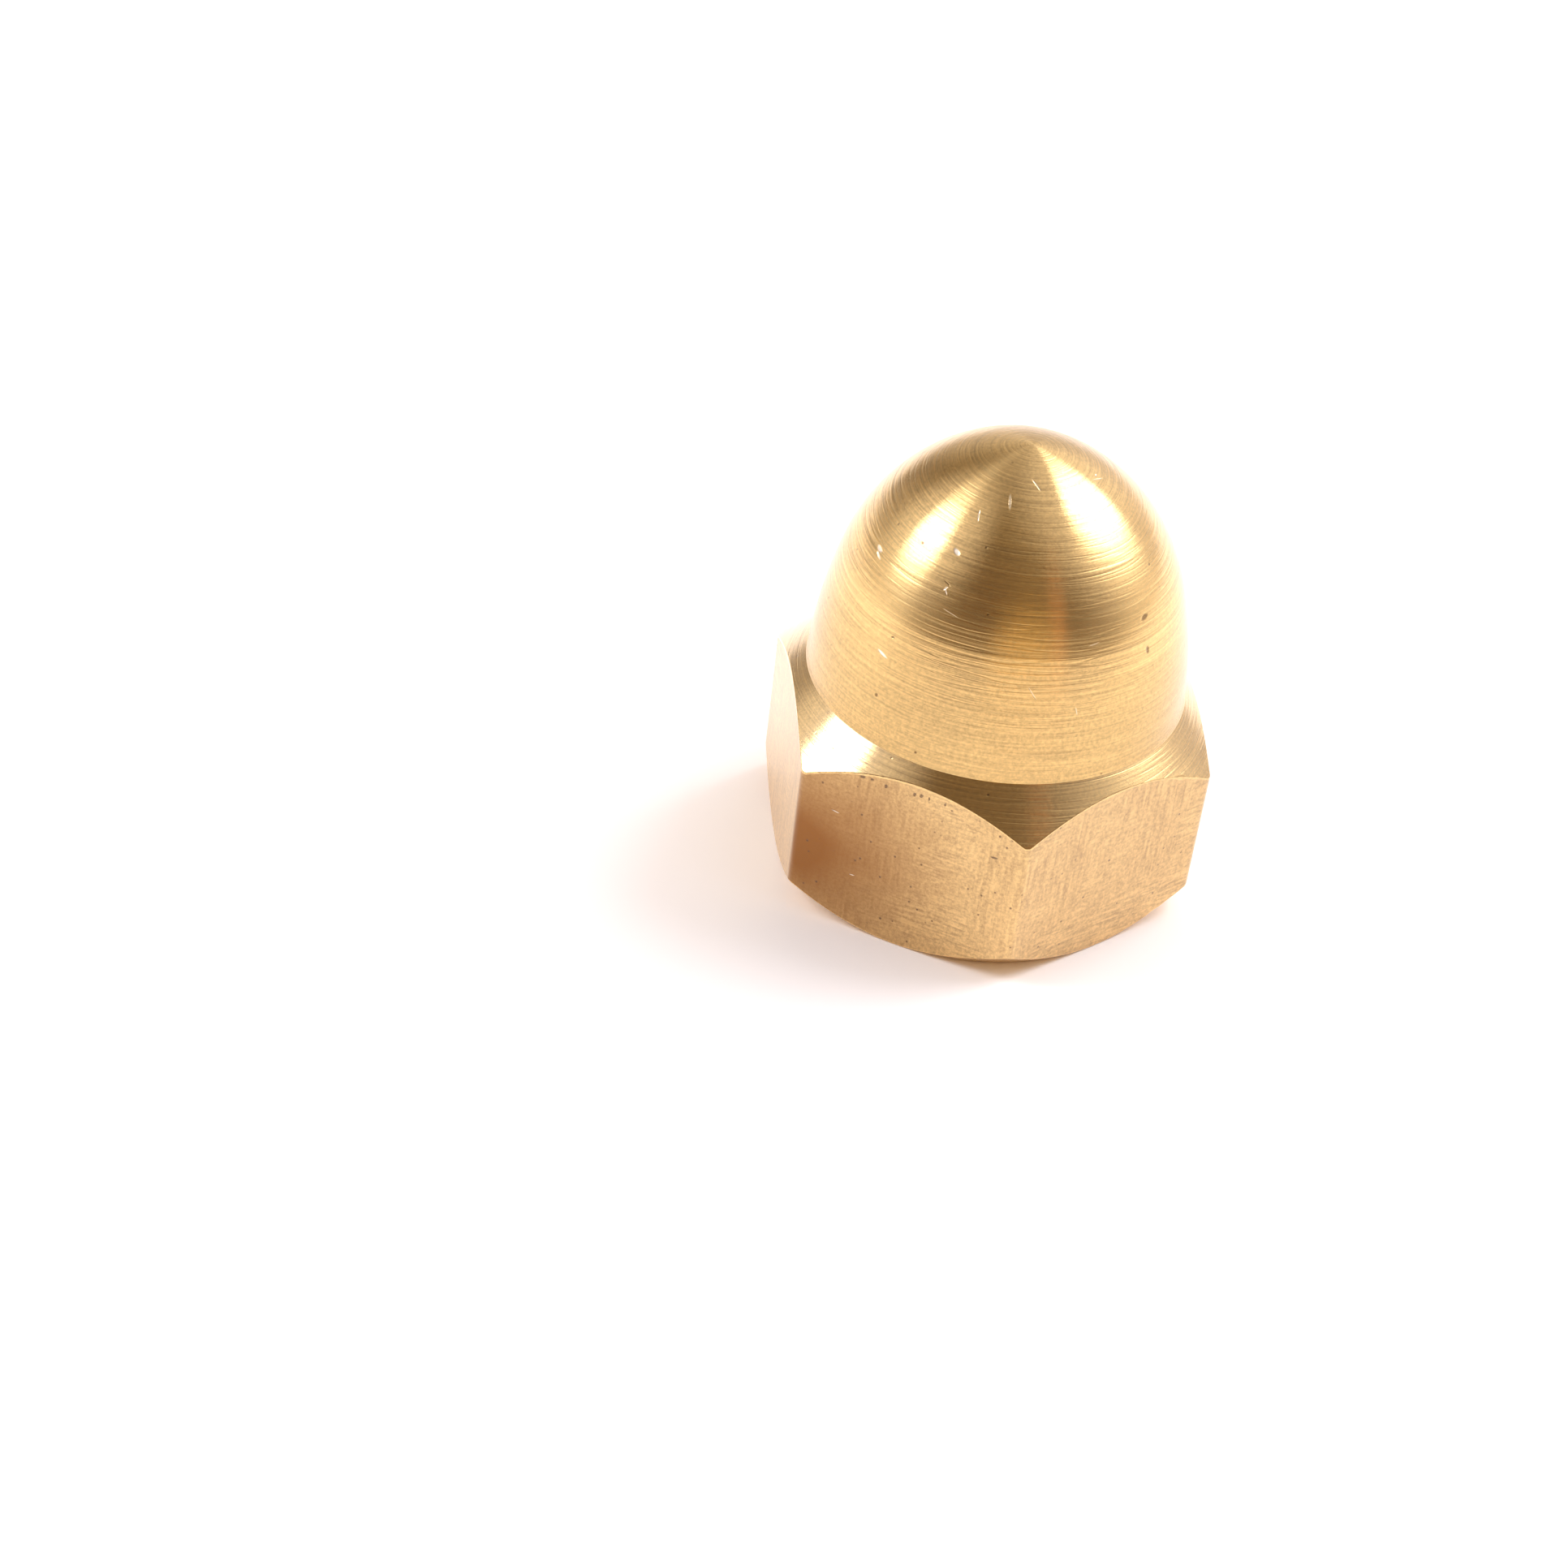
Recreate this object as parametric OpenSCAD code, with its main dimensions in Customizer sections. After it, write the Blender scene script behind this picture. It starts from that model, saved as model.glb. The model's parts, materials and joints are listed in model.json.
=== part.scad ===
// Domed cap nut: a length of hexagonal bar, turned to a dome at one end, then drilled and
// tapped blind from the other. It stands on its bearing face, with the axis along +Z and
// the origin at the middle of that face. All sizes are in millimetres and degrees.

/* [Hexagon] */
// Width across the flats
across_flats = 19; // [16:0.5:22]
// Radius of the six corners of the drawn bar
corner_r = 0.5; // [0.2:0.05:1.2]
// Height at which the top chamfer meets the foot of the dome
hex_h = 9.85; // [7.5:0.05:11.5]
// Slope of the top chamfer, from level
top_chamfer = 45; // [30:1:55]
// Slope of the chamfer round the bearing face, from level
base_chamfer = 45; // [20:1:55]
// Step in from each flat to the rim of the bearing face
bearing_step = 0.05; // [0.05:0.05:1]

/* [Dome] */
// Height of the whole nut
total_h = 22; // [20.5:0.1:25]
// Step in from each flat to the foot of the dome
dome_step = 0.65; // [0.3:0.05:1.5]
// Radius of the long arc up the side of the dome
flank_r = 24.6; // [18:0.2:40]
// Lean of the side at the foot of the dome, from upright
foot_lean = 3.2; // [0:0.1:6]
// Diameter of the small flat that the turning tool leaves at the tip
tip_flat_d = 0.4; // [0.2:0.1:3]
// Fall of the surface just beside that flat, from level
tip_fall = 8; // [1:0.5:16]

/* [Threaded hole] */
// Major diameter of the thread
thread_d = 12; // [8:0.5:14]
// Pitch of the thread
thread_pitch = 1.75; // [0.75:0.25:2]
// Depth of the drilled hole at its full width
hole_depth = 16; // [12:0.5:17]
// Point angle of the drill
drill_point = 118; // [90:1:140]
// Widening of the mouth beyond the thread, on each side
mouth_step = 0.5; // [0.1:0.1:1.2]
// Included angle of the mouth's countersink
mouth_angle = 90; // [60:5:120]

/* [Hidden] */
$fn = 180;

// Length by which a cutting shape runs past the stock
clear = 1;
// Angle by which the corner arcs cross the flats instead of grazing them
corner_bite = 10;

flat_r = across_flats / 2;
bearing_r = flat_r - bearing_step;
foot_r = flat_r - dome_step;
tap_r = (thread_d - thread_pitch) / 2;
mouth_r = thread_d / 2 + mouth_step;

// A unit vector at an angle from level
function toward(angle) = [cos(angle), sin(angle)];

// The flank arc starts at the dome's foot, square to its lean there. The crown arc ends at
// the tip's flat, square to its fall there, and its circle touches the flank's from inside.
// Those conditions fix the crown's radius and the point at which the two arcs blend.
flank_centre = [foot_r, hex_h] - flank_r * toward(foot_lean);
tip_rim = [tip_flat_d / 2, total_h] - flank_centre;
tip_normal = toward(90 - tip_fall);
crown_r = (flank_r ^ 2 - tip_rim * tip_rim) / (2 * (flank_r - tip_rim * tip_normal));
crown_offset = tip_rim - crown_r * tip_normal;
blend_angle = atan2(crown_offset.y, crown_offset.x);
blend_point = flank_centre + flank_r * toward(blend_angle);

// Cross section of the hexagonal bar, with a corner on the X axis. A round blank cuts each
// corner short where its own arc, a small disc, takes over.
module bar_section() {
    arc_x = (flat_r - corner_r * cos(corner_bite)) / cos(30);
    intersection() {
        circle(r = flat_r / cos(30), $fn = 6);
        union() {
            circle(r = norm([flat_r, arc_x * sin(30)]));
            for (k = [0:5])
                rotate(60 * k) translate([arc_x, 0]) circle(r = corner_r);
        }
    }
}

// A disc whose edge passes through the origin, square to the X axis
module touching_disc(r) {
    translate([-r, 0]) circle(r = r);
}

// Half section of the dome, carried down to the base and cut level at the tip: the flank's
// disc below the line through both centres and the crown's disc above it
module dome_section() {
    reach = 2 * flank_r;
    intersection() {
        translate(blend_point) rotate(blend_angle) {
            intersection() {
                touching_disc(flank_r);
                translate([-reach, -reach]) square([reach + clear, reach]);
            }
            intersection() {
                touching_disc(crown_r);
                translate([-reach, 0]) square([reach + clear, reach]);
            }
        }
        square([across_flats, total_h]);
    }
}

// Half section of the turned outside: both chamfers as one pair of cones, and the dome
module turned_section() {
    top_tan = tan(top_chamfer);
    base_tan = tan(base_chamfer);
    apex_z = hex_h + foot_r * top_tan;
    meet_r = (apex_z + bearing_r * base_tan) / (top_tan + base_tan);
    polygon([
        [0, 0],
        [bearing_r, 0],
        [meet_r, (meet_r - bearing_r) * base_tan],
        [0, apex_z]
    ]);
    dome_section();
}

// Half section of the blind hole: countersunk mouth, tapping drill and drill point
module hole_section() {
    mouth_tan = tan(mouth_angle / 2);
    polygon([
        [0, -clear],
        [mouth_r + clear * mouth_tan, -clear],
        [tap_r, (mouth_r - tap_r) / mouth_tan],
        [tap_r, hole_depth],
        [0, hole_depth + tap_r / tan(drill_point / 2)]
    ]);
}

// The nut: what the bar and the turned outside have in common, less the hole
module cap_nut() {
    color("#c9a355")
    difference() {
        intersection() {
            translate([0, 0, -clear]) linear_extrude(total_h + 2 * clear) bar_section();
            rotate_extrude() turned_section();
        }
        rotate_extrude() hole_section();
    }
}

cap_nut();
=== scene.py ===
"""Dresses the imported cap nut: its brass skin, with the thread and the tool marks, and a small studio.

The nut stands on its bearing face with its axis along +Z. Its skin is one closed surface in the
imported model's frame: a profile that runs from the tip of the dome down the outside, under the
bearing face and up the tapped hole, carried round the axis. Sizes are in metres and radians.
"""

import json
import math

import bpy
import numpy as np
from mathutils import Matrix, Vector


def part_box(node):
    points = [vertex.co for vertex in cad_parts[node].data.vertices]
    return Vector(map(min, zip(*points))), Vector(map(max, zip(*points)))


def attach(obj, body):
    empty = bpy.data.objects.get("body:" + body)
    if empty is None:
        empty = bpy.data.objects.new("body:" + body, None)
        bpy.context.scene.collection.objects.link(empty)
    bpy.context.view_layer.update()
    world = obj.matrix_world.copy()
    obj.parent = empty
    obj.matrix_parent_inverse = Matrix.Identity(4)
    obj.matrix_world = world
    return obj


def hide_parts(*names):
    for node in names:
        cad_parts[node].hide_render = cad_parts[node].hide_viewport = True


bl_info = {
    "name": "Cap nut",
    "version": (1, 0, 0),
    "blender": (4, 5, 0),
    "location": "3D View > Sidebar > Cap nut",
    "description": "A turned brass cap nut and the studio it stands in",
    "category": "Object",
}

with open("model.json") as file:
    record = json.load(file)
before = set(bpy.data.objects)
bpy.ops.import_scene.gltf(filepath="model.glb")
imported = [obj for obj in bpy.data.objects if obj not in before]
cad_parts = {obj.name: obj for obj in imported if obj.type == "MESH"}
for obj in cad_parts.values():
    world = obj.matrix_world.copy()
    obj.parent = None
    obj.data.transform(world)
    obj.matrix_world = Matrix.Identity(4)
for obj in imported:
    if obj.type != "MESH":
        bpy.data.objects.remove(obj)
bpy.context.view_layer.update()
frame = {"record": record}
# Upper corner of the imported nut's box
NUT_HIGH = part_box("cap_nut")[1]
MOUNTS = {mount["name"]: mount for mount in frame["record"]["mounts"]}

MM = 0.001
# The corners of the hexagon repeat at this angle, from one on the X axis
SECTOR = math.radians(60)


def linear(hex_colour):
    """Linear red, green and blue of an sRGB colour written as six hex digits."""
    shares = (int(hex_colour[k : k + 2], 16) / 255 for k in (0, 2, 4))
    return tuple(s / 12.92 if s <= 0.04045 else ((s + 0.055) / 1.055) ** 2.4 for s in shares)


def length_mm(name, description, millimetres):
    """A property that holds a length, in metres, from its default in millimetres."""
    return bpy.props.FloatProperty(
        name=name, description=description, default=millimetres * MM, min=0, precision=6, unit="LENGTH"
    )


def angle_deg(name, description, degrees):
    """A property that holds an angle, in radians, from its default in degrees."""
    return bpy.props.FloatProperty(
        name=name, description=description, default=math.radians(degrees), subtype="ANGLE"
    )


def colour_of(name, description, hex_colour):
    """A property that holds a linear colour, from its default as sRGB hex digits."""
    return bpy.props.FloatVectorProperty(
        name=name, description=description, default=linear(hex_colour), size=3, min=0, max=1, subtype="COLOR"
    )


def share_of(name, description, share):
    """A property that holds a plain share, usually from 0 to 1."""
    return bpy.props.FloatProperty(name=name, description=description, default=share, min=0, subtype="FACTOR")


class CapNutSizes(bpy.types.PropertyGroup):
    """Sizes of the nut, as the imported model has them, and the fine shapes that only this skin has."""

    flat_r: length_mm("Half width", "From the axis to a flat", NUT_HIGH.y / MM)
    total_h: length_mm("Height", "From the bearing face to the tip", NUT_HIGH.z / MM)
    corner_r: length_mm("Corner radius", "Radius of the drawn bar's six corners", 0.5)
    corner_bite: angle_deg("Corner bite", "Angle at which the corner arcs cross the flats", 10)
    hex_h: length_mm("Hexagon height", "Height at which the top chamfer meets the dome", 9.85)
    top_chamfer: angle_deg("Top chamfer", "Slope of the top chamfer, from level", 45)
    base_chamfer: angle_deg("Base chamfer", "Slope of the chamfer round the bearing face", 45)
    bearing_step: length_mm("Bearing step", "Step in from each flat to the bearing face", 0.05)
    dome_step: length_mm("Dome step", "Step in from each flat to the foot of the dome", 0.65)
    flank_r: length_mm("Flank radius", "Radius of the long arc up the side of the dome", 24.6)
    foot_lean: angle_deg("Foot lean", "Lean of the dome's side at its foot", 3.2)
    tip_flat_d: length_mm("Tip flat", "Diameter of the small flat at the tip", 0.4)
    tip_fall: angle_deg("Tip fall", "Fall of the surface just beside that flat", 8)
    tap_r: length_mm("Bore radius", "Radius over the thread's crests", MOUNTS["thread"]["dims"]["r_mm"])
    thread_depth: length_mm("Thread depth", "Depth of the thread's grooves", 0.875)
    pitch: length_mm("Thread pitch", "Rise of the thread in one turn", 1.75)
    thread_end: length_mm("Thread end", "Height at which the tap's grooves run out", 15.4)
    hole_depth: length_mm("Hole depth", "Depth of the drilled hole at its full width", 16)
    drill_point: angle_deg("Drill point", "Point angle of the drill", 118)
    mouth_step: length_mm("Mouth step", "Widening of the mouth beyond the thread", 0.5)
    mouth_angle: angle_deg("Mouth angle", "Included angle of the countersink", 90)
    edge_break: length_mm("Edge break", "Usual width of the broken edges", 0.035)


class CapNutFinish(bpy.types.PropertyGroup):
    """Colours, roughness and fine marks of the nut's brass, as each tool left it."""

    turned: colour_of("Turned brass", "Colour of the turned dome and chamfers", "DAB677")
    drawn: colour_of("Drawn brass", "Colour of the drawn flats", "E2BE80")
    # Tarnish in faint blotches all round the bar, and a painted dark reflection on one flat by its left
    # corner: the colour both are drawn towards
    tarnish_and_dark_reflection: colour_of("Tarnish and painted reflection", "Colour of the drawn flats where they have tarnished, and of a painted dark reflection on one flat", "8C5608")
    # Pale colour of chips and scratches: real marks down to clean metal, with their glint painted in as this
    # near-white colour
    clean_metal_and_glint: colour_of("Chip metal and glint", "Colour of chips and scratches down to clean metal", "FFF0D6")
    tarnish: colour_of("Tarnish", "Colour of specks and pits where dirt has stayed", "5E4022")
    turned_roughness: share_of("Turned roughness", "Roughness of the turned dome", 0.225)
    faced_roughness: share_of("Faced roughness", "Roughness of the chamfers and the bearing face", 0.16)
    drawn_roughness: share_of("Drawn roughness", "Roughness of the drawn flats", 0.42)
    turned_stretch: share_of("Turned stretch", "How far the tool's rings stretch a highlight", 0.97)
    ring_pitch: length_mm("Ring pitch", "Spacing of the fine rings on the turned faces", 0.09)
    band_pitch: length_mm("Band pitch", "Spacing of the broader bands on the turned faces", 0.2)
    groove_pitch: length_mm("Groove pitch", "Spacing of the sharper grooves on the turned faces", 0.36)
    grain_size: length_mm("Grain size", "Size of the grain on the drawn flats and the rubbed dome", 0.17)
    turned_relief: length_mm("Turned relief", "Height of the marks on the turned faces", 0.0052)
    drawn_relief: length_mm("Drawn relief", "Height of the flats' grain and of the hole's lines", 0.01)


class CapNutStudio(bpy.types.PropertyGroup):
    """The camera's place, the lamps and the floor."""

    azimuth: angle_deg("Azimuth", "Camera's turn round the nut, from the front flat", 20.045)
    down: angle_deg("Down", "How far the camera looks down", 36.93)
    roll: angle_deg("Roll", "Turn of the camera about its own line of sight", 6.823)
    distance: length_mm("Distance", "From the camera to the nut's foot, along the line of sight", 149.135)
    aside: length_mm("Aside", "How far right of the picture's middle the nut's foot is", 8.907)
    below: length_mm("Below", "How far below the picture's middle the nut's foot is", 2.452)
    lens: bpy.props.FloatProperty(
        name="Lens", description="Focal length for a 36 mm sensor", default=70.717, min=1, unit="CAMERA"
    )
    lamp_distance: length_mm("Lamp distance", "From the nut to each round soft box", 500)
    lamp_colour: colour_of("Lamp colour", "Colour of both lamps", "EBEFFF")
    left_azimuth: angle_deg("Left lamp, azimuth", "Turn of the left lamp from the camera's side", -90.5)
    left_elevation: angle_deg("Left lamp, elevation", "Height of the left lamp, from level", 38)
    left_width: length_mm("Left lamp, width", "Diameter of the left lamp's face", 225)
    left_level: share_of("Left lamp, level", "Brightness of its face, where lit white paper is 1", 7.4)
    right_azimuth: angle_deg("Right lamp, azimuth", "Turn of the right lamp from the camera's side", 117.5)
    right_elevation: angle_deg("Right lamp, elevation", "Height of the right lamp, from level", 46)
    right_width: length_mm("Right lamp, width", "Diameter of the right lamp's face", 342)
    right_level: share_of("Right lamp, level", "Brightness of its face, where lit white paper is 1", 6.0)
    floor: colour_of("Floor", "Colour of the paper floor", "F8F4EE")
    white: colour_of("Backdrop", "Colour of the backdrop", "FFFFFF")
    floor_radius: length_mm("Floor radius", "From the nut to the floor's edge", 700)
    floor_lift: share_of("Floor lift", "How much brighter than it is lit the camera sees the floor", 1.25)
    floor_glow: share_of("Floor glow", "How much brighter than it is lit the metal sees the floor", 1.46)
    room: colour_of("Room", "Colour of the dark room behind the camera", "725B46")


def bar_radius(angle, s):
    """Radius of the hexagonal bar at each angle: a flat's straight line, cut short near a corner by an arc.

    The arc belongs to a small disc that crosses both flats. Between it and the flat's line the nearer one
    counts, and a round blank holds both in where they would cross.
    """
    off = np.abs((angle + SECTOR / 2) % SECTOR - SECTOR / 2)
    arc_x = (s.flat_r - s.corner_r * math.cos(s.corner_bite)) / math.cos(SECTOR / 2)
    blank = math.hypot(s.flat_r, arc_x * math.sin(SECTOR / 2))
    straight = s.flat_r / np.cos(SECTOR / 2 - off)
    arc = arc_x * np.cos(off) + np.sqrt(np.maximum(s.corner_r**2 - (arc_x * np.sin(off)) ** 2, 0))
    return np.minimum(straight, np.maximum(arc, blank))


def column_angles(on_flat=41, on_corner=8):
    """Angles of the skin's columns, once round and back to the start, in finer steps round each corner."""
    half_corner = math.radians(0.9)
    corner = np.linspace(-half_corner, half_corner, on_corner, endpoint=False)
    flat = np.linspace(half_corner, SECTOR - half_corner, on_flat, endpoint=False)
    sector = np.concatenate([corner, flat])
    return np.append((sector + SECTOR * np.arange(6)[:, None]).ravel(), sector[0] + 6 * SECTOR)


def heading(angle):
    """A unit vector at an angle from level, as radius and height."""
    return np.array([np.cos(angle), np.sin(angle)])


def dome_curve(s, crown_rows=72, flank_rows=36):
    """Points from the tip to the foot of the dome: the small flat, the crown's arc and the flank's long arc.

    The flank's arc starts at the foot, square to its lean. The crown's arc ends at the flat's rim, square to
    its fall, and touches the flank's arc from inside, which gives its radius and the point where they blend.
    """
    foot = np.array([s.flat_r - s.dome_step, s.hex_h])
    flank_centre = foot - s.flank_r * heading(s.foot_lean)
    rim = np.array([s.tip_flat_d / 2, s.total_h]) - flank_centre
    normal = heading(math.pi / 2 - s.tip_fall)
    crown_r = (s.flank_r**2 - rim @ rim) / (2 * (s.flank_r - rim @ normal))
    offset = rim - crown_r * normal
    blend = math.atan2(offset[1], offset[0])
    crown_angles = np.linspace(math.pi / 2 - s.tip_fall, blend, crown_rows)
    flank_angles = np.linspace(blend, s.foot_lean, flank_rows)[1:]
    crown = (flank_centre + offset)[:, None] + crown_r * heading(crown_angles)
    flank = flank_centre[:, None] + s.flank_r * heading(flank_angles)
    level = np.stack([s.tip_flat_d / 2 * np.array([0, 0.5, 0.9]), np.full(3, s.total_h)])
    return np.concatenate([level, crown, flank], 1)


def wander(angle, low, high, seed, waves=24):
    """A smooth random value round the axis, from low to high: a sum of sine waves with a seeded mix."""
    rng = np.random.default_rng(seed)
    turns = np.arange(1, waves + 1)[:, None]
    phase = rng.uniform(0, 2 * math.pi, (waves, 1))
    swing = (np.sin(turns * angle + phase) * rng.normal(0, 1, (waves, 1))).sum(0)
    return low + (high - low) * (0.5 + 0.5 * np.tanh(swing / math.sqrt(waves)))


def straight_rows(a, b, count, margin=0.006):
    """Rows evenly spaced between two edges, and one more by each edge, so that a flat face is shaded flat."""
    share = np.concatenate([[margin], np.linspace(0, 1, count + 2)[1:-1], [1 - margin]])
    return a + (b - a) * share[:, None, None]


def broken_edge(before, edge, after, width, count=5, most=0.35):
    """Rows over a broken edge: a parabola that leaves each face at the given width from the edge.

    The width is never more than a set share of the shorter face.
    """
    to_before = before - edge
    to_after = after - edge
    reach_before = np.hypot(*to_before)
    reach_after = np.hypot(*to_after)
    cut = np.minimum(width, most * np.minimum(reach_before, reach_after))
    start = edge + to_before * cut / reach_before
    end = edge + to_after * cut / reach_after
    t = np.linspace(0, 1, count)[:, None, None]
    return (1 - t) ** 2 * start + 2 * t * (1 - t) * edge + t**2 * end


def thread_rows(angle, s, low):
    """Rows up the tapped hole. They climb with the thread, so that its edges lie along them.

    The groove is a 60 degree V with a narrow flat at its root and a wide one between turns. Its depth fades
    out at the tap's end, and the countersink is wider than the thread near the mouth. One turn's profile is
    given in shares of the pitch.
    """
    flank_angle = math.radians(30)
    slope = s.thread_depth * math.tan(flank_angle) / s.pitch
    root = 1 / 8
    crest = 1 - root - 2 * slope
    # Half the width over which each of the groove's edges is eased
    ease = 0.012
    # Length of the groove's run-out
    run_out = 0.8 * s.pitch
    corners = np.array([crest, crest + slope, crest + slope + root])
    phase = np.sort(np.concatenate([[ease, crest / 2], corners - ease, corners + ease,
                                    [crest + slope / 2, crest + slope + root / 2, 1 - slope / 2, 1 - ease]]))
    depth = np.interp(phase, [0, crest, crest + slope, crest + slope + root, 1], [0, 0, 1, 1, 0])
    turns = int(math.ceil(s.hole_depth / s.pitch)) + 1
    climb = (phase + np.arange(-1, turns)[:, None]).ravel()[:, None] + angle / (2 * math.pi)
    z = np.clip(climb * s.pitch, low, s.hole_depth)
    full = np.tile(depth, turns + 1)[:, None]
    fade = np.clip((s.thread_end - z) / run_out, 0, 1)
    r = s.tap_r + s.thread_depth * full * fade * (z < s.hole_depth)
    mouth = s.tap_r + s.thread_depth + s.mouth_step - z * math.tan(s.mouth_angle / 2)
    return np.stack([np.maximum(r, mouth), z], 1)


def nut_skin(s):
    """The columns' angles, the whole profile for each of them, and the finish of each row's strip.

    The profile is an array of rows by radius and height by columns. Each edge of the hexagon follows the
    bar's radius at that column, so the chamfers' curved edges lie along rows.
    """
    angle = column_angles()
    bar = bar_radius(angle, s)
    same = np.ones_like(angle)
    foot_r, bearing_r = s.flat_r - s.dome_step, s.flat_r - s.bearing_step
    mouth_r = s.tap_r + s.thread_depth + s.mouth_step
    dome = dome_curve(s)[:, :, None] * same
    dome = dome.transpose(1, 0, 2)
    foot = dome[-1]
    top = np.stack([bar, s.hex_h - (bar - foot_r) * math.tan(s.top_chamfer)])
    bottom = np.stack([bar, (bar - bearing_r) * math.tan(s.base_chamfer)])
    rim = np.stack([bearing_r * same, 0 * same])
    mouth = np.stack([mouth_r * same, 0 * same])
    inside = np.stack([s.tap_r * same, (mouth_r - s.tap_r) / math.tan(s.mouth_angle / 2) * same])

    worn = wander(angle, 0.6, 1.5, seed=4) * s.edge_break
    # Two knocks near the right-hand corner: angle and half width in degrees, and depth in millimetres
    turn = (np.degrees(angle) + 180) % 360 - 180
    for at, wide, deep in ((-10.0, 1.1, 0.16), (-5.8, 0.7, 0.1)):
        worn = worn + deep * MM * np.exp(-(((turn - at) / wide) ** 2))
    foot_rows = broken_edge(dome[-2], foot, top, 0.4 * s.edge_break * same, 3)
    top_rows = broken_edge(foot, top, bottom, worn)
    bottom_rows = broken_edge(top, bottom, rim, worn)
    rim_rows = broken_edge(bottom, rim, mouth, worn)
    mouth_rows = broken_edge(rim, mouth, inside, worn)
    thread = thread_rows(angle, s, s.edge_break)
    tip_z = s.hole_depth + s.tap_r / math.tan(s.drill_point / 2)
    inward = np.outer([0, 0.02, 0.3, 0.65, 0.9, 1], same)
    drill = np.stack([(1 - inward) * s.tap_r, s.hole_depth + inward * (tip_z - s.hole_depth)], 1)
    dome_finish, flat_finish, hole_finish, faced_finish = range(4)
    parts = [
        (dome[:-1], dome_finish),
        (foot_rows, faced_finish),
        (straight_rows(foot_rows[-1], top_rows[0], 8), faced_finish),
        (top_rows, faced_finish),
        (straight_rows(top_rows[-1], bottom_rows[0], 14), flat_finish),
        (bottom_rows, faced_finish),
        (straight_rows(bottom_rows[-1], rim_rows[0], 3), faced_finish),
        (rim_rows, faced_finish),
        (straight_rows(rim_rows[-1], mouth_rows[0], 6), faced_finish),
        (mouth_rows, faced_finish),
        (thread, hole_finish),
        (drill, hole_finish),
    ]
    rows = np.concatenate([part for part, finish in parts])
    finish = np.concatenate([np.full(len(part), finish) for part, finish in parts])
    return angle, rows, finish


def closed_mesh(name, angle, rows, finish, materials):
    """A closed mesh from rows of radius and height: points that meet, at the seam and the poles, become one.

    It keeps the distance along the profile, in millimetres, twice: as the attribute that the turning marks
    follow, and as U of a map whose V counts turns round the axis, which gives their direction.
    """
    radius, height = rows[:, 0], rows[:, 1]
    points = np.stack([radius * np.cos(angle), radius * np.sin(angle), height], -1).reshape(-1, 3)
    steps = np.hypot(*np.diff(rows, axis=0).transpose(1, 0, 2))
    along = np.concatenate([np.zeros((1, len(angle))), np.cumsum(steps, 0)]) / MM
    count, wide = radius.shape
    first = (np.arange(count - 1)[:, None] * wide + np.arange(wide - 1)).ravel()
    quad = np.stack([first, first + wide, first + wide + 1, first + 1], 1)
    triangles = np.concatenate([quad[:, [0, 1, 2]], quad[:, [0, 2, 3]]])
    slot_of = np.tile(np.repeat(finish[:-1], wide - 1), 2)
    # Points closer than this, in metres, are one
    weld = 1e-8
    grid = np.round(points / weld).astype(np.int64)
    kept, merged = np.unique(grid, axis=0, return_index=True, return_inverse=True)[1:]
    merged = merged.ravel()[triangles]
    whole = (merged != np.roll(merged, 1, 1)).all(1)
    merged = merged[whole]
    corners = triangles[whole]
    slot_of = slot_of[whole]

    mesh = bpy.data.meshes.new(name)
    mesh.vertices.add(len(kept))
    mesh.vertices.foreach_set("co", points[kept].astype(np.float32).ravel())
    mesh.loops.add(merged.size)
    mesh.loops.foreach_set("vertex_index", merged.astype(np.int32).ravel())
    mesh.polygons.add(len(merged))
    mesh.polygons.foreach_set("loop_start", np.arange(0, merged.size, 3, dtype=np.int32))
    mesh.polygons.foreach_set("material_index", slot_of.astype(np.int32))
    mesh.polygons.foreach_set("use_smooth", np.ones(len(merged), bool))
    turning = mesh.uv_layers.new(name="turning")
    turn = np.broadcast_to(angle / (2 * math.pi), radius.shape).ravel()
    map_points = np.stack([along.ravel()[corners], turn[corners]], -1)
    turning.data.foreach_set("uv", map_points.astype(np.float32).ravel())
    ring = mesh.attributes.new("ring", "FLOAT", "POINT")
    ring.data.foreach_set("value", along.ravel()[kept].astype(np.float32))
    mesh.update(calc_edges=True)
    for material in materials:
        mesh.materials.append(material)
    if mesh.validate():
        raise RuntimeError(f"{name} had faces that the mesh can't hold")
    piece = bpy.data.objects.new(name, mesh)
    bpy.context.scene.collection.objects.link(piece)
    return piece


def add(tree, kind, inputs=None, **settings):
    """Adds a node with its settings, and its inputs by name or number: each a value or a node's output."""
    made = tree.nodes.new("ShaderNode" + kind)
    for name, value in settings.items():
        setattr(made, name, value)
    for socket, value in (inputs or {}).items():
        if isinstance(value, bpy.types.NodeSocket):
            tree.links.new(value, made.inputs[socket])
        else:
            made.inputs[socket].default_value = value
    return made


def new_material(name):
    """An empty material, its tree and its metal shader, linked to the output."""
    material = bpy.data.materials.new(name)
    material.use_nodes = True
    tree = material.node_tree
    tree.nodes.clear()
    metal = add(tree, "BsdfPrincipled", {"Metallic": 1.0})
    add(tree, "OutputMaterial", {"Surface": metal.outputs["BSDF"]})
    return material, tree, metal


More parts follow.
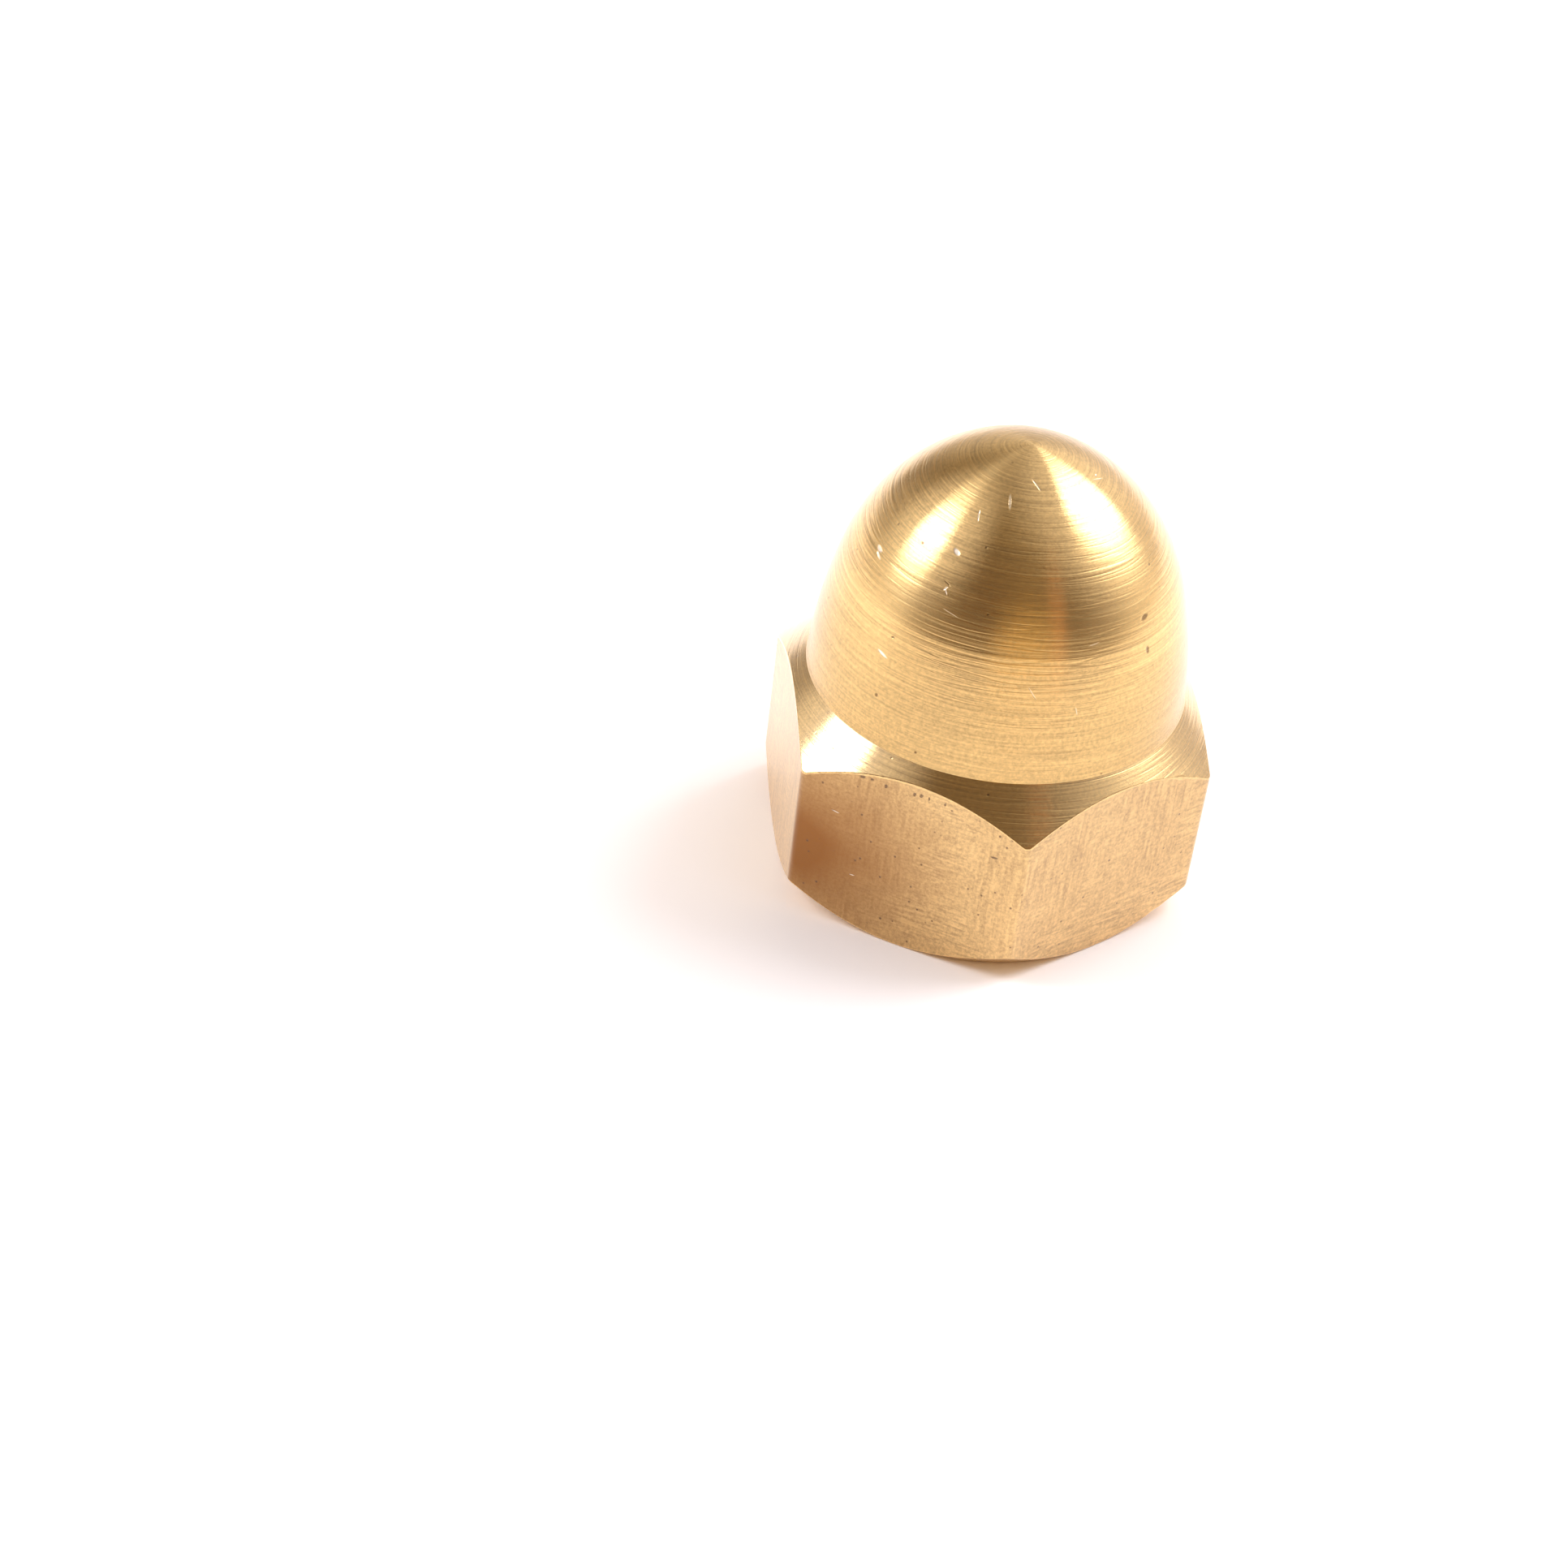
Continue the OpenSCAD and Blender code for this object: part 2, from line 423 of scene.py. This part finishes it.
def skin_point(angle, height, s):
    """The point of the skin at an angle and height, and its level, rising and outward directions there.

    On the dome the radius comes from its curve, and on the hexagon from the bar.
    """
    if height > s.hex_h:
        radii, heights = dome_curve(s)[:, ::-1]
        step = 0.05 * MM
        r = np.interp(height, heights, radii)
        below = np.interp(height - step, heights, radii)
        rise = np.array([r - below, step])
        normal_angle = angle
    else:
        r = bar_radius(np.array([angle]), s)[0]
        rise = np.array([0, 1.0])
        normal_angle = (math.floor(angle / SECTOR) + 0.5) * SECTOR
    rise = rise / np.hypot(*rise)
    out = np.array([math.cos(normal_angle), math.sin(normal_angle), 0])
    level = np.array([-out[1], out[0], 0])
    up = out * rise[0] + np.array([0, 0, rise[1]])
    point = np.array([r * math.cos(angle), r * math.sin(angle), height])
    return point, level, up, np.cross(level, up)


def marked(tree, place, marks, s, whole=0.5):
    """How far inside one of several small marks a point is: 0 outside, 1 in its middle.

    Each mark is an ellipsoid on the skin, given by its angle round the axis in degrees, its height, length
    and width in millimetres, and its tilt from level in degrees. The share rises from its surface inwards
    and is whole from a set share of its radius. The nearest mark counts.
    """
    # How far each ellipsoid reaches under the skin
    reach = 0.4 * MM
    depth = None
    for angle, height, length, width, tilt in marks:
        point, level, up, out = skin_point(math.radians(angle), height * MM, s)
        turned = math.cos(math.radians(tilt)) * level + math.sin(math.radians(tilt)) * up
        axes = Matrix([turned, np.cross(out, turned), out]).transposed()
        size = length / 2 * MM, width / 2 * MM, reach
        local = {"Vector": place, "Location": point, "Rotation": axes.to_euler(), "Scale": size}
        local = add(tree, "Mapping", local, vector_type="TEXTURE")
        away = add(tree, "VectorMath", {0: local.outputs[0]}, operation="LENGTH").outputs["Value"]
        inside = add(tree, "MapRange", {"Value": away, 1: 1.0, 2: whole, 3: 0.0, 4: 1.0}).outputs[0]
        if depth is None:
            depth = inside
        else:
            depth = add(tree, "Math", {0: depth, 1: inside}, operation="MAXIMUM").outputs[0]
    return depth


def specks(tree, place, spacing, size):
    """Scattered round specks: points near the middle of a random cell, if it is one of the darker ones."""
    cells = add(tree, "TexVoronoi", {"Vector": place, "Scale": 1 / spacing}).outputs
    rim = size / spacing
    near = add(tree, "MapRange", {"Value": cells["Distance"], 1: rim, 2: rim / 2}).outputs[0]
    chosen = add(tree, "MapRange", {"Value": cells["Color"], 1: 0.4, 2: 0.3}).outputs[0]
    return add(tree, "Math", {0: near, 1: chosen}, operation="MULTIPLY").outputs[0]


# Marks on the dome: angle in degrees, height, length and width in millimetres, and tilt in degrees
CHIPS = ((-133.2, 17.6, 0.6, 0.24, -8), (-131.6, 17.4, 0.6, 0.12, -20), (-100, 19.1, 0.48, 0.26, -30),
         (-112, 14.1, 0.72, 0.17, -14), (-98, 17.8, 0.3, 0.1, 55), (-97.4, 17.7, 0.34, 0.08, -50),
         (8, 21.16, 0.2, 0.1, 0))
SCRATCHES = ((-64, 21.39, 0.8, 0.1, -60), (-84, 20.92, 0.95, 0.13, -75), (-99, 20.33, 0.65, 0.1, -70),
             (5, 21.09, 0.8, 0.09, -30), (-62, 14.3, 0.8, 0.05, -55), (-47.5, 13.4, 0.5, 0.05, -75),
             (-93, 17.0, 0.9, 0.04, -12), (-42, 16.3, 0.6, 0.05, 10))
PITS = ((-19.3, 16.72, 0.56, 0.32, 15), (-19.8, 15.3, 0.24, 0.46, 0), (-110, 15.04, 0.2, 0.14, 0),
        (-110, 12.2, 0.2, 0.2, 0), (-93.5, 10.4, 0.16, 0.12, 0), (-98, 18.0, 0.4, 0.1, -20))
# Marks on the flats, in the same way
FLAT_CHIPS = ((-111, 6.3, 0.42, 0.06, -8), (-104.5, 3.1, 0.3, 0.05, 4))
FLAT_PITS = ((-105.2, 8.69, 0.3, 0.18, 0), (-102.6, 8.72, 0.2, 0.14, 0), (-98.6, 8.6, 0.2, 0.2, 0),
             (-90.4, 8.69, 0.18, 0.22, 0), (-88.5, 8.73, 0.22, 0.2, 0), (-86.2, 8.72, 0.12, 0.2, 0),
             (-81.6, 8.7, 0.1, 0.18, 0), (-79.5, 8.5, 0.14, 0.1, 0), (-67, 6.78, 0.4, 0.12, 0))

# A painted dark reflection on the front flat, by its left corner, given in the same way: darker brass where
# the flat mirrors dark surroundings
PAINTED_REFLECTION_PATCH = (-119, 4.0, 17, 14, 0)
# Ridges left round the dome where the tool paused: height and half width in millimetres, and rise, or fall
# where it is below zero, against the finer rings
RIDGES = ((15.76, 0.2, 1.3), (16.4, 0.14, -1.0), (17.58, 0.14, -1.4), (18.9, 0.12, 1.2), (14.0, 0.16, 0.7),
          (11.4, 0.14, 0.7))
# Heights between which the emery's rubbing of the dome eases off, and those over which its tip is smoother
RUBBED_Z = 12 * MM, 16 * MM
TIP_Z = 20.4 * MM, 21.6 * MM


def turned_brass(name, finish, s, roughness, rub):
    """Free-cutting brass turned on a lathe and, on the dome, rubbed with fine emery while it spun.

    The rings that go round the axis stretch each highlight up and down the profile, into fans that meet at
    the tip. Fine rings, broader bands and a few sharper grooves tip the reflection up and down, so that it
    breaks into arcs where a dark part of it meets a pale one. Rub says how far the emery has gone, from 0 to
    1: it breaks the rings into shorter arcs, and fades them and leaves a sandy grain, most of all low on the
    dome. It also leaves less of the film that pales the brass at a low angle. The finest rings are 0.09 mm
    apart, coarser than the real 0.03 mm, so that they show.
    """
    material, tree, metal = new_material(name)
    place = add(tree, "TexCoord").outputs["Object"]
    ring = add(tree, "Attribute", attribute_name="ring").outputs["Fac"]
    # Place across the axis, where a flat is 1 away
    per_width = 1 / s.flat_r
    aside = add(tree, "VectorMath", {0: place, 1: (per_width, per_width, 0)}, operation="MULTIPLY").outputs[0]

    def rings(pitch, hold, seed):
        """Noise in arcs: it changes once a pitch along the profile, and slowly round the axis if hold is low.

        Round the axis it goes by distance, so that the arcs near the tip are whole circles.
        """
        rise = add(tree, "Math", {0: ring, 1: MM / pitch, 2: seed}, operation="MULTIPLY_ADD").outputs[0]
        lift = add(tree, "CombineXYZ", {"Z": rise}).outputs[0]
        arcs = add(tree, "VectorMath", {0: aside, 1: (hold, hold, hold), 2: lift}, operation="MULTIPLY_ADD")
        noise = {"Vector": arcs.outputs[0], "Scale": 1.0, "Detail": 1.5, "Roughness": 0.6}
        return add(tree, "TexNoise", noise).outputs["Fac"]

    fine = rings(finish.ring_pitch, 0.8 + 1.4 * rub, 3.7)
    broad = rings(finish.band_pitch, 0.6, 8.1)
    # A groove runs where one more such noise passes its middle value
    grooves = rings(finish.groove_pitch, 0.8 + 0.5 * rub, 11.2)
    off = add(tree, "Math", {0: grooves, 1: 0.5}, operation="SUBTRACT").outputs[0]
    away = add(tree, "Math", {0: off}, operation="ABSOLUTE").outputs[0]
    deep = {"Value": away, 1: 0.06, 2: 0.0}
    deep = add(tree, "MapRange", deep, interpolation_type="SMOOTHSTEP").outputs[0]
    sand = {"Vector": place, "Scale": 1 / finish.grain_size, "Detail": 5.0, "Roughness": 0.75}
    grain = add(tree, "TexNoise", sand).outputs["Fac"]
    upright = add(tree, "SeparateXYZ", {0: place}).outputs["Z"]
    shown = {"Value": upright, 1: RUBBED_Z[0], 2: RUBBED_Z[1], 3: 1 - 0.45 * rub, 4: 1.0}
    shown = add(tree, "MapRange", shown, interpolation_type="SMOOTHSTEP").outputs[0]
    polished = {"Value": upright, 1: TIP_Z[0], 2: TIP_Z[1], 3: 1.0, 4: 0.85}
    polished = add(tree, "MapRange", polished, interpolation_type="SMOOTHSTEP").outputs[0]
    shown = add(tree, "Math", {0: shown, 1: polished}, operation="MULTIPLY").outputs[0]
    height = fine
    for mark, rise in ((broad, 1.1), (deep, -0.75)):
        height = add(tree, "Math", {0: mark, 1: rise, 2: height}, operation="MULTIPLY_ADD").outputs[0]
    height = add(tree, "Math", {0: height, 1: shown}, operation="MULTIPLY").outputs[0]
    for at, half, rise in RIDGES:
        off = add(tree, "Math", {0: upright, 1: at * MM}, operation="SUBTRACT").outputs[0]
        away = add(tree, "Math", {0: off}, operation="ABSOLUTE").outputs[0]
        crest = {"Value": away, 1: half * MM, 2: 0.0}
        crest = add(tree, "MapRange", crest, interpolation_type="SMOOTHSTEP").outputs[0]
        height = add(tree, "Math", {0: crest, 1: rise, 2: height}, operation="MULTIPLY_ADD").outputs[0]
    chips = marked(tree, place, CHIPS, s)
    scratches = marked(tree, place, SCRATCHES, s)
    pits = marked(tree, place, PITS, s)
    dots = specks(tree, place, 0.9 * MM, 0.08 * MM)
    sandy = {"Value": upright, 1: RUBBED_Z[0], 2: RUBBED_Z[1], 3: 1.4 * rub, 4: 0.5 * rub}
    sandy = add(tree, "MapRange", sandy, interpolation_type="SMOOTHSTEP").outputs[0]
    for mark, rise in ((grain, sandy), (chips, -2.5), (scratches, -2.0), (pits, -3.5), (dots, -1.4)):
        height = add(tree, "Math", {0: mark, 1: rise, 2: height}, operation="MULTIPLY_ADD").outputs[0]
    bump = {"Strength": 1.0, "Distance": finish.turned_relief, "Height": height}
    bump = add(tree, "Bump", bump).outputs[0]

    # Hollows are darker and duller, and dirt stays in the pits
    worked = add(tree, "Math", {0: fine, 1: shown, 2: grain}, operation="MULTIPLY_ADD").outputs[0]
    shade = add(tree, "MapRange", {"Value": worked, 1: 0.6, 2: 1.2, 3: 0.68, 4: 1.19}).outputs[0]
    colour = add(tree, "VectorMath", {0: finish.turned[:], "Scale": shade}, operation="SCALE").outputs[0]
    dark = add(tree, "Math", {0: pits, 1: dots}, operation="MAXIMUM").outputs[0]
    dark = add(tree, "Math", {0: dark, 1: 0.7}, operation="MULTIPLY").outputs[0]
    colour = add(tree, "Mix", {0: dark, 4: colour, 5: finish.tarnish[:]}, data_type="VECTOR").outputs[1]
    # Chips and scratches are real marks, bumped into the skin; their near-white colour is a painted glint,
    # fainter on the scratches
    faint = add(tree, "Math", {0: scratches, 1: 0.55}, operation="MULTIPLY").outputs[0]
    chip_and_scratch_glint = add(tree, "Math", {0: chips, 1: faint}, operation="MAXIMUM").outputs[0]
    colour = add(tree, "Mix", {0: chip_and_scratch_glint, 4: colour, 5: finish.clean_metal_and_glint[:]}, data_type="VECTOR").outputs[1]
    gloss = {"Value": worked, 1: 0.5, 2: 1.2, 3: roughness + 0.04, 4: roughness - 0.03}
    rough = add(tree, "MapRange", gloss).outputs[0]
    tangent = add(tree, "Tangent", direction_type="UV_MAP", uv_map="turning").outputs[0]
    tree.links.new(colour, metal.inputs["Base Color"])
    tree.links.new(rough, metal.inputs["Roughness"])
    tree.links.new(bump, metal.inputs["Normal"])
    tree.links.new(tangent, metal.inputs["Tangent"])
    metal.inputs["Anisotropic"].default_value = finish.turned_stretch
    metal.inputs["Coat Weight"].default_value = 1.2 - 0.85 * rub
    metal.inputs["Coat Roughness"].default_value = 0.2
    return material


def drawn_brass(finish, s):
    """Brass bar drawn through a hexagonal die and left as it came: a dull, grainy gold.

    It is browner in its hollows. In places it has faint lines along the bar, and in places fine scuffs across
    it. A thin film of oil makes it paler at a low angle. Faint tarnish comes and goes in blotches all round
    the bar, and one flat has a painted dark reflection, darkest by its left corner.
    """
    material, tree, metal = new_material("brass_drawn")
    place = add(tree, "TexCoord").outputs["Object"]
    # How often in a metre the grain changes, and the blotches in which lines and scuffs come and go
    fine = 1 / finish.grain_size
    coarse = 1 / (3.2 * MM)
    sand = {"Vector": place, "Scale": fine, "Detail": 5.0, "Roughness": 0.75}
    grain = add(tree, "TexNoise", sand).outputs["Fac"]
    stretched = add(tree, "Mapping", {"Vector": place, "Scale": (1, 1, 0.09)}).outputs[0]
    lines = add(tree, "TexNoise", {"Vector": stretched, "Scale": fine, "Detail": 2.0}).outputs["Fac"]
    flattened = add(tree, "Mapping", {"Vector": place, "Scale": (0.12, 0.12, 1)}).outputs[0]
    scuffs = add(tree, "TexNoise", {"Vector": flattened, "Scale": 1.2 * fine, "Detail": 2.0}).outputs["Fac"]
    blotches = add(tree, "TexNoise", {"Vector": place, "Scale": coarse, "Detail": 2.0}).outputs["Fac"]
    scuffed = add(tree, "MapRange", {"Value": blotches, 1: 0.45, 2: 0.6, 3: 0.0, 4: 0.8}).outputs[0]
    lined = add(tree, "MapRange", {"Value": blotches, 1: 0.42, 2: 0.56, 3: 0.6, 4: 0.0}).outputs[0]
    across = add(tree, "Math", {0: scuffs, 1: 0.5}, operation="SUBTRACT").outputs[0]
    along = add(tree, "Math", {0: lines, 1: 0.5}, operation="SUBTRACT").outputs[0]
    across = add(tree, "Math", {0: across, 1: scuffed, 2: grain}, operation="MULTIPLY_ADD").outputs[0]
    worked = add(tree, "Math", {0: along, 1: lined, 2: across}, operation="MULTIPLY_ADD").outputs[0]
    chips = marked(tree, place, FLAT_CHIPS, s)
    pits = marked(tree, place, FLAT_PITS, s)
    dots = specks(tree, place, 0.5 * MM, 0.075 * MM)
    height = worked
    for mark, rise in ((chips, -5.0), (pits, -3.0), (dots, -1.5)):
        height = add(tree, "Math", {0: mark, 1: rise, 2: height}, operation="MULTIPLY_ADD").outputs[0]
    bump = {"Strength": 1.0, "Distance": finish.drawn_relief, "Height": height}
    bump = add(tree, "Bump", bump).outputs[0]

    clean = add(tree, "MapRange", {"Value": worked, 1: 0.32, 2: 0.66, 3: 0.5, 4: 1.0}).outputs[0]
    colour = {0: clean, 4: finish.tarnish[:], 5: finish.drawn[:]}
    colour = add(tree, "Mix", colour, data_type="VECTOR").outputs[1]
    # The painted dark reflection is whole only at its middle, and the tarnish is faint in blotches all round
    # the bar
    painted_reflection = marked(tree, place, (PAINTED_REFLECTION_PATCH,), s, whole=0.1)
    soft = add(tree, "MapRange", {"Value": blotches, 1: 0.35, 2: 0.65, 3: 0.1, 4: 0.0}).outputs[0]
    reflection_and_tarnish = add(tree, "Math", {0: painted_reflection, 1: 1.0, 2: soft}, operation="MULTIPLY_ADD").outputs[0]
    colour = add(tree, "Mix", {0: reflection_and_tarnish, 4: colour, 5: finish.tarnish_and_dark_reflection[:]}, data_type="VECTOR").outputs[1]
    dark = add(tree, "Math", {0: pits, 1: dots}, operation="MAXIMUM").outputs[0]
    dark = add(tree, "Math", {0: dark, 1: 0.75}, operation="MULTIPLY").outputs[0]
    colour = add(tree, "Mix", {0: dark, 4: colour, 5: finish.tarnish[:]}, data_type="VECTOR").outputs[1]
    # The chips are real marks, bumped in; their near-white colour is a painted glint
    colour = add(tree, "Mix", {0: chips, 4: colour, 5: finish.clean_metal_and_glint[:]}, data_type="VECTOR").outputs[1]
    tree.links.new(colour, metal.inputs["Base Color"])
    tree.links.new(bump, metal.inputs["Normal"])
    metal.inputs["Roughness"].default_value = finish.drawn_roughness
    metal.inputs["Coat Weight"].default_value = 0.85
    metal.inputs["Coat Roughness"].default_value = 0.3
    return material


def tapped_brass(finish):
    """Brass freshly cut by drill and tap: brighter than the flats, with fine level lines round the hole."""
    material, tree, metal = new_material("brass_tapped")
    place = add(tree, "TexCoord").outputs["Object"]
    # The lines change once in 0.8 mm round the hole, and six times as often along it
    squeezed = add(tree, "Mapping", {"Vector": place, "Scale": (1, 1, 6)}).outputs[0]
    cut = add(tree, "TexNoise", {"Vector": squeezed, "Scale": 1.2 / MM, "Detail": 3.0}).outputs["Fac"]
    bump = add(tree, "Bump", {"Strength": 1.0, "Distance": finish.drawn_relief, "Height": cut}).outputs[0]
    shade = add(tree, "MapRange", {"Value": cut, 1: 0.3, 2: 0.7, 3: 0.8, 4: 1.05}).outputs[0]
    colour = add(tree, "VectorMath", {0: finish.turned[:], "Scale": shade}, operation="SCALE").outputs[0]
    tree.links.new(colour, metal.inputs["Base Color"])
    tree.links.new(bump, metal.inputs["Normal"])
    metal.inputs["Roughness"].default_value = finish.turned_roughness
    return material


class CAPNUT_OT_nut(bpy.types.Operator):
    """Builds the nut's brass skin in the place of the plain solid"""

    bl_idname = "capnut.nut"
    bl_label = "Build the nut"

    def execute(self, context):
        s = context.scene.cap_nut_sizes
        finish = context.scene.cap_nut_finish
        angle, rows, strips = nut_skin(s)
        materials = [
            turned_brass("brass_turned", finish, s, finish.turned_roughness, rub=1.0),
            drawn_brass(finish, s),
            tapped_brass(finish),
            turned_brass("brass_faced", finish, s, finish.faced_roughness, rub=0.3),
        ]
        piece = closed_mesh("nut_skin", angle, rows, strips, materials)
        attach(piece, "root")
        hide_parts("cap_nut")
        return {"FINISHED"}


def toward_sky(azimuth, elevation, studio):
    """Unit vector from the nut to a place in the studio. Azimuth grows from the camera to its right."""
    turn = azimuth + studio.azimuth
    level = math.cos(elevation)
    return Vector((math.sin(turn) * level, -math.cos(turn) * level, math.sin(elevation)))


def soft_box(name, azimuth, elevation, width, level, studio):
    """A round soft box that faces the nut. Its power is its face's brightness times its area times pi."""
    direction = toward_sky(azimuth, elevation, studio)
    lamp = bpy.data.lights.new(name, "AREA")
    lamp.shape = "DISK"
    lamp.size = width
    face_area = math.pi * width**2 / 4
    lamp.energy = level * math.pi * face_area
    lamp.color = studio.lamp_colour
    holder = bpy.data.objects.new(name, lamp)
    holder.location = direction * studio.lamp_distance
    holder.rotation_euler = direction.to_track_quat("Z", "Y").to_euler()
    bpy.context.scene.collection.objects.link(holder)


def paper_floor(studio):
    """A wide disc of pale paper under the nut, which keeps its shadow.

    The camera sees it a little brighter than it is lit, so that it meets the white backdrop, and the metal
    sees it brighter still, as it would a wide sheet with a lamp of its own.
    """
    material = bpy.data.materials.new("paper_matt")
    material.use_nodes = True
    tree = material.node_tree
    tree.nodes.clear()
    path = add(tree, "LightPath").outputs
    direct = {"Value": path["Is Camera Ray"], 3: 1.0, 4: studio.floor_lift}
    direct = add(tree, "MapRange", direct).outputs[0]
    mirrored = {"Value": path["Is Glossy Ray"], 3: 1.0, 4: studio.floor_glow}
    mirrored = add(tree, "MapRange", mirrored).outputs[0]
    lift = add(tree, "Math", {0: direct, 1: mirrored}, operation="MULTIPLY").outputs[0]
    shown = add(tree, "VectorMath", {0: studio.floor[:], "Scale": lift}, operation="SCALE").outputs[0]
    paper = add(tree, "BsdfDiffuse", {"Color": shown})
    add(tree, "OutputMaterial", {"Surface": paper.outputs[0]})
    sides = 96
    angle = np.linspace(0, 2 * math.pi, sides, endpoint=False)
    mesh = bpy.data.meshes.new("floor")
    rim = np.stack([np.cos(angle), np.sin(angle), np.zeros_like(angle)], 1) * studio.floor_radius
    mesh.from_pydata(rim.tolist(), [], [list(range(sides))])
    mesh.materials.append(material)
    floor = bpy.data.objects.new("floor", mesh)
    bpy.context.scene.collection.objects.link(floor)


# Soft glows in the dark room: azimuth and elevation of the middle, the angles from there at which a glow is
# whole and gone, all in degrees, its colour and its strength. They are the cloth round each lamp, the pale
# walls on the right, behind the nut and on the left, the ceiling, and warm wood low behind the camera.
GLOWS = (
    (-90, 38, 2, 44, "EBEFFF", 1.1),
    (118, 45, 2, 60, "EBEFFF", 0.95),
    (135, 3, 10, 70, "FFF0E6", 0.22),
    (172, 14, 12, 44, "FFFFFF", 0.46),
    (-119, 3, 14, 34, "FFFFFF", 0.35),
    (180, 74, 14, 85, "F0ECD4", 0.16),
    (13, 3, 1, 31, "F8D794", 0.66),
)
# An upright strip of darker wood behind the camera, on its right: azimuth and elevation of the middle in
# degrees, and its colour
WOOD_AZIMUTH = 34
WOOD_ELEVATION = 22
WOOD_COLOUR = "8C5F49"
# Cosines between which each side of the strip, and its ends, fade in
WOOD_SIDE = -0.13, -0.02
WOOD_END = 0.86, 0.95


def studio_world(studio):
    """The studio round the nut: a dark room with soft glows in it, which add up. The camera sees white."""
    world = bpy.data.worlds.new("studio")
    bpy.context.scene.world = world
    world.use_nodes = True
    tree = world.node_tree
    tree.nodes.clear()
    direction = add(tree, "TexCoord").outputs["Generated"]

    def facing(azimuth, elevation, gone, whole, strength):
        """A share of the sky: none at the first cosine from a direction, and whole at the second."""
        way = toward_sky(math.radians(azimuth), math.radians(elevation), studio)
        near = add(tree, "VectorMath", {0: direction, 1: way}, operation="DOT_PRODUCT").outputs["Value"]
        share = {"Value": near, 1: gone, 2: whole, 3: 0.0, 4: strength}
        return add(tree, "MapRange", share, interpolation_type="SMOOTHSTEP").outputs[0]

    around = studio.room[:]
    for azimuth, elevation, whole, gone, colour, strength in GLOWS:
        fade = math.cos(math.radians(gone)), math.cos(math.radians(whole))
        share = facing(azimuth, elevation, *fade, strength)
        tint = add(tree, "VectorMath", {0: linear(colour), "Scale": share}, operation="SCALE").outputs[0]
        around = add(tree, "VectorMath", {0: tint, 1: around}, operation="ADD").outputs[0]
    # The strip of wood is what two half skies and a round patch of the sky share
    left_side = facing(WOOD_AZIMUTH - 90, 0, *WOOD_SIDE, 1.0)
    right_side = facing(WOOD_AZIMUTH + 90, 0, *WOOD_SIDE, 1.0)
    middle = facing(WOOD_AZIMUTH, WOOD_ELEVATION, *WOOD_END, 1.0)
    strip = add(tree, "Math", {0: left_side, 1: right_side}, operation="MULTIPLY").outputs[0]
    strip = add(tree, "Math", {0: strip, 1: middle}, operation="MULTIPLY").outputs[0]
    tint = add(tree, "VectorMath", {0: linear(WOOD_COLOUR), "Scale": strip}, operation="SCALE").outputs[0]
    around = add(tree, "VectorMath", {0: tint, 1: around}, operation="ADD").outputs[0]
    camera_ray = add(tree, "LightPath").outputs["Is Camera Ray"]
    shown = add(tree, "Mix", {0: camera_ray, 4: around, 5: studio.white[:]}, data_type="VECTOR").outputs[1]
    background = add(tree, "Background", {"Color": shown, "Strength": 1.0})
    add(tree, "OutputWorld", {"Surface": background.outputs[0]})


def studio_camera(studio):
    """The camera: it looks level along +Y, then is tilted down, rolled and turned round the nut.

    It is moved back until the nut's foot has the wanted place in its view.
    """
    turned = Matrix.Rotation(studio.azimuth, 3, "Z") @ Matrix.Rotation(math.pi / 2 - studio.down, 3, "X")
    turned = turned @ Matrix.Rotation(studio.roll, 3, "Z")
    camera = bpy.data.cameras.new("camera")
    camera.sensor_width = 36
    camera.lens = studio.lens
    camera.clip_start = studio.distance / 50
    camera.clip_end = 50
    holder = bpy.data.objects.new("camera", camera)
    holder.matrix_world = turned.to_4x4()
    holder.location = turned @ -Vector((studio.aside, -studio.below, -studio.distance))
    bpy.context.scene.collection.objects.link(holder)
    bpy.context.scene.camera = holder


class CAPNUT_OT_studio(bpy.types.Operator):
    """Builds the floor, the lamps, the backdrop and the camera"""

    bl_idname = "capnut.studio"
    bl_label = "Build the studio"

    def execute(self, context):
        studio = context.scene.cap_nut_studio
        left = studio.left_azimuth, studio.left_elevation, studio.left_width, studio.left_level
        right = studio.right_azimuth, studio.right_elevation, studio.right_width, studio.right_level
        soft_box("lamp_left", *left, studio)
        soft_box("lamp_right", *right, studio)
        paper_floor(studio)
        studio_world(studio)
        studio_camera(studio)
        context.scene.view_settings.view_transform = "Standard"
        return {"FINISHED"}


class CAPNUT_PT_panel(bpy.types.Panel):
    """Lists the steps that build the nut and its studio, with their sizes and colours"""

    bl_label = "Cap nut"
    bl_idname = "CAPNUT_PT_panel"
    bl_space_type = "VIEW_3D"
    bl_region_type = "UI"
    bl_category = "Cap nut"

    def draw(self, context):
        scene = context.scene
        for operator, groups in (
            (CAPNUT_OT_nut, (scene.cap_nut_sizes, scene.cap_nut_finish)),
            (CAPNUT_OT_studio, (scene.cap_nut_studio,)),
        ):
            box = self.layout.box()
            box.operator(operator.bl_idname)
            for group in groups:
                for name in group.__annotations__:
                    box.prop(group, name)


GROUPS = {"cap_nut_sizes": CapNutSizes, "cap_nut_finish": CapNutFinish, "cap_nut_studio": CapNutStudio}
CLASSES = (*GROUPS.values(), CAPNUT_OT_nut, CAPNUT_OT_studio, CAPNUT_PT_panel)


def register():
    """Registers the classes and hangs the property groups on the scene."""
    for cls in CLASSES:
        bpy.utils.register_class(cls)
    for name, group in GROUPS.items():
        setattr(bpy.types.Scene, name, bpy.props.PointerProperty(type=group))


def unregister():
    """Takes the property groups and the classes away again."""
    for name in GROUPS:
        delattr(bpy.types.Scene, name)
    for cls in reversed(CLASSES):
        bpy.utils.unregister_class(cls)


def main():
    """Builds the nut and its studio."""
    register()
    bpy.ops.capnut.nut()
    bpy.ops.capnut.studio()


if __name__ == "__main__":
    main()
